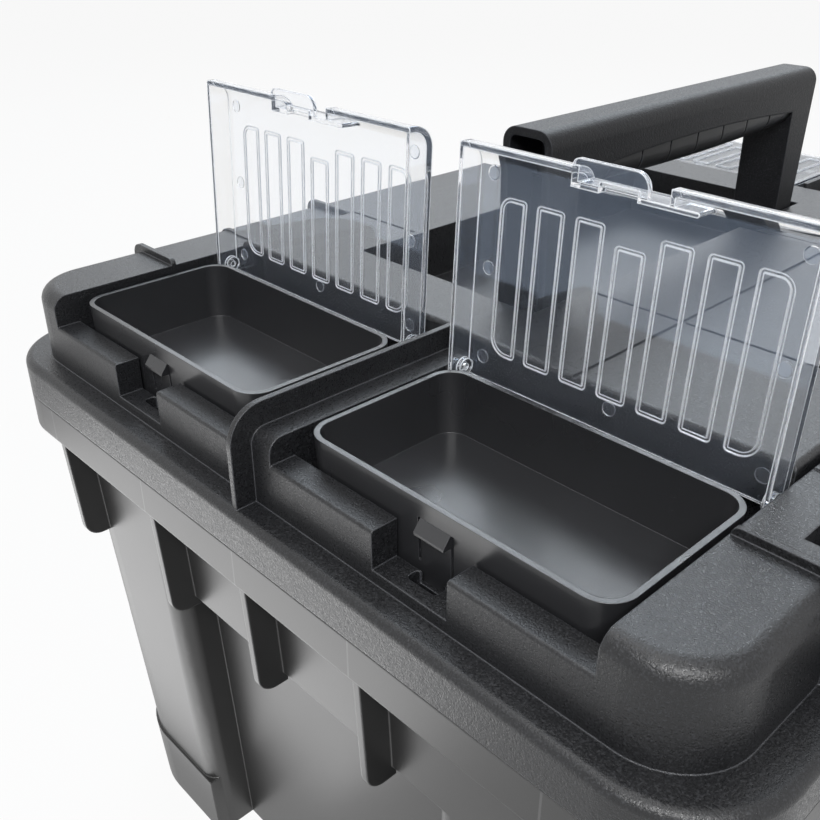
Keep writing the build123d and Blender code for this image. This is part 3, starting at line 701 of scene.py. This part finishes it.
@dataclass
class CoverMarks:
    """Round ejector marks on the inner face of one clear cover: thin discs, each dished in the middle.

    A place is a pair: the way out from the cover's axis, and the way along the axis from its middle.
    The height of the inner face is measured from the axis, on the shut cover.
    """

    dresser: Dresser
    corner: Corner
    radius: float = 0.0023
    thickness: float = 0.00024
    clearance: float = 0.00002
    ring_width: float = 0.0004
    dish: float = 0.0001
    sides: int = 28
    face_height: float = 0.0029
    places: Tuple[Tuple[float, float], ...] = (
        (0.0047, 0.0495),
        (0.0050, -0.0010),
        (0.0047, -0.0505),
        (0.0350, 0.0497),
        (0.0350, -0.0497),
        (0.0648, 0.0502),
        (0.0648, -0.0502),
    )

    @property
    def pivot(self) -> Dict[str, Any]:
        """The joint that the cover turns on."""
        name = f"cover_{self.corner.value}_pivot"
        return next(joint for joint in frame["joints"] if joint["name"] == name)

    @property
    def turn(self) -> float:
        """How far the stored cover stands open, which is as far as its joint can turn it back."""
        shut, _ = self.pivot["range_deg"]
        return math.radians(-shut)

    def build(self) -> None:
        """Model one mark, copy it to each place and join the marks into one piece."""
        axis_x, _, axis_z = self.pivot["pos_m"]
        low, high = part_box(f"cover_{self.corner.value}")
        middle_y = (low[1] + high[1]) / 2
        end = math.copysign(1.0, axis_x)
        up = Vector((math.sin(self.turn), 0.0, math.cos(self.turn)))
        out = Vector((end * math.cos(self.turn), 0.0, math.sin(self.turn)))
        seat = Vector((axis_x, middle_y, axis_z))
        seat += up * (self.face_height - self.clearance - self.thickness / 2)
        piece = self.model_disc()
        discs = [piece] + [self.copy_disc(piece) for _ in self.places[1:]]
        for disc, (outward, across) in zip(discs, self.places):
            disc.location = seat + out * outward + Vector((0.0, across, 0.0))
            disc.rotation_euler = (0.0, self.turn, 0.0)
            disc.select_set(True)
        bpy.context.view_layer.update()
        bpy.context.view_layer.objects.active = piece
        bpy.ops.object.join()
        bpy.ops.object.transform_apply(location=True, rotation=True, scale=True)
        piece.name = f"ejector_marks_{self.corner.value}"
        piece.data.name = piece.name
        piece.data.materials.clear()
        piece.data.materials.append(self.dresser.material(MARK_PLASTIC))
        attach(piece, f"organiser_cover_{self.corner.value}")
        LOG.info("modelled %s", piece.name)

    def model_disc(self) -> bpy.types.Object:
        """Model one mark at the origin.

        Returns:
            The disc, dished on its lower side, which faces away from the cover.
        """
        bpy.ops.object.select_all(action="DESELECT")
        bpy.ops.mesh.primitive_cylinder_add(
            vertices=self.sides,
            radius=self.radius,
            depth=self.thickness,
            location=(0.0, 0.0, 0.0),
        )
        made = bpy.context.view_layer.objects.active
        bpy.context.scene.tool_settings.mesh_select_mode = PICK_FACES
        lower = min(made.data.polygons, key=lambda face: face.center.z)
        for face in made.data.polygons:
            face.select = face.index == lower.index
        bpy.ops.object.mode_set(mode="EDIT")
        bpy.ops.mesh.inset(thickness=self.ring_width)
        bpy.ops.transform.translate(value=(0.0, 0.0, self.dish))
        bpy.ops.object.mode_set(mode="OBJECT")
        return made

    def copy_disc(self, disc: bpy.types.Object) -> bpy.types.Object:
        """Copy a mark.

        Args:
            disc: The mark.

        Returns:
            The copy, with its own mesh.
        """
        made = disc.copy()
        made.data = disc.data.copy()
        bpy.context.scene.collection.objects.link(made)
        return made


@dataclass
class CarryHandle:
    """The folding handle."""

    dresser: Dresser
    shells: Tuple[str, ...] = ("handle_shell", "handle_pin_left", "handle_pin_right")
    grip: str = "handle_grip"

    def build(self) -> None:
        """Dress the pieces of the handle."""
        self.dresser.dress(HANDLE_PLASTIC, self.shells)
        self.dresser.dress(GRIP_PLASTIC, [self.grip])


@dataclass(frozen=True)
class Lamp:
    """A soft rectangular lamp, with its power in watts."""

    name: str
    place: Point
    aim: Point
    size: Tuple[float, float]
    power: float
    colour: Colour = WHITE


LAMPS = (
    Lamp(
        "lamp_back",
        place=(0.95, 0.85, 1.5),
        aim=(-0.05, 0.0, 0.24),
        size=(1.7, 1.1),
        power=25.0,
        colour=(0.82, 0.91, 1.0),
    ),
    Lamp(
        "lamp_low",
        place=(-0.36, 0.25, 0.01),
        aim=(-0.36, 0.25, 1.0),
        size=(0.28, 0.42),
        power=0.7,
    ),
    Lamp(
        "lamp_front",
        place=(-1.0, -0.75, 1.3),
        aim=(-0.2, -0.1, 0.24),
        size=(0.9, 0.22),
        power=20.0,
    ),
    Lamp(
        "lamp_top",
        place=(-0.3, 0.1, 1.4),
        aim=(-0.1, 0.0, 0.2),
        size=(0.7, 0.7),
        power=4.0,
    ),
)


@dataclass
class Studio:
    """A white studio: floor, soft lamps and the camera of the photograph.

    The lens and the sensor are in millimetres.
    """

    floor_size: float = 12.0
    floor_colour: Colour = (0.62, 0.62, 0.62)
    floor_glow: float = 0.93
    sky_light: float = 0.12
    lamps: Tuple[Lamp, ...] = LAMPS
    lens: float = 42.002
    sensor: float = 36.0
    nearest: float = 0.01
    eye: Point = (-0.3440, -0.2085, 0.3960)
    view: Point = (0.6026, 0.6362, -0.4819)

    def build(self) -> None:
        """Build the floor, the light and the camera."""
        self.lay_floor()
        self.light_world()
        for lamp in self.lamps:
            self.hang(lamp)
        self.set_camera()
        bpy.context.scene.view_settings.view_transform = "Standard"

    def white_rays(self, graph: Graph) -> Wire:
        """1 for the rays that see the studio as plain white.

        Args:
            graph: The graph that asks.

        Returns:
            The mask.
        """
        camera, glossy, through = (
            graph.node("ShaderNodeLightPath", output=kind) for kind in WHITE_RAYS
        )
        return (camera + glossy + through).clamped()

    def lay_floor(self) -> None:
        """A pale floor that glows white to the eye and keeps the shadow of the box."""
        bpy.ops.object.select_all(action="DESELECT")
        bpy.ops.mesh.primitive_plane_add(size=self.floor_size)
        floor = bpy.context.active_object
        floor.name = "floor"
        made, graph = start_material("floor_paint")
        paint = graph.node("ShaderNodeBsdfDiffuse", inputs={"Color": self.floor_colour})
        glow = graph.node("ShaderNodeEmission", inputs={"Color": WHITE, "Strength": 1.0})
        graph.show(graph.layer(self.white_rays(graph) * self.floor_glow, paint, glow))
        floor.data.materials.append(made)
        LOG.info("laid the floor")

    def light_world(self) -> None:
        """White to the eye, and a soft even light on the box."""
        world = bpy.data.worlds.new("studio_white")
        bpy.context.scene.world = world
        world.use_nodes = True
        graph = Graph(world.node_tree)
        white = self.white_rays(graph)
        strength = white + (1.0 - white) * self.sky_light
        sky = graph.node("ShaderNodeBackground", inputs={"Color": WHITE, "Strength": strength})
        graph.show(sky, "ShaderNodeOutputWorld")

    def facing(self, way: Vector) -> Euler:
        """The turn that points a lamp or the camera along a direction."""
        return way.to_track_quat("-Z", "Y").to_euler()

    def hang(self, lamp: Lamp) -> None:
        """Hang one lamp.

        Args:
            lamp: The lamp.
        """
        data = bpy.data.lights.new(lamp.name, "AREA")
        data.shape = "RECTANGLE"
        data.size, data.size_y = lamp.size
        data.energy = lamp.power
        data.color = lamp.colour
        hung = bpy.data.objects.new(lamp.name, data)
        bpy.context.scene.collection.objects.link(hung)
        hung.location = lamp.place
        hung.rotation_euler = self.facing(Vector(lamp.aim) - Vector(lamp.place))
        hung.visible_camera = False
        LOG.info("hung %s", lamp.name)

    def set_camera(self) -> None:
        """Stand the camera where the photograph was taken."""
        data = bpy.data.cameras.new("camera")
        data.lens = self.lens
        data.sensor_width = self.sensor
        data.clip_start = self.nearest
        camera = bpy.data.objects.new("camera", data)
        bpy.context.scene.collection.objects.link(camera)
        camera.location = self.eye
        camera.rotation_euler = self.facing(Vector(self.view))
        bpy.context.scene.camera = camera


def main() -> None:
    """Dress the tool box, piece by piece, and set up the studio."""
    logging.basicConfig(level=logging.INFO, format="%(message)s")
    dresser = Dresser()
    for assembly in (BucketAssembly(dresser), LidAssembly(dresser), CarryHandle(dresser), Studio()):
        assembly.build()


if __name__ == "__main__":
    main()
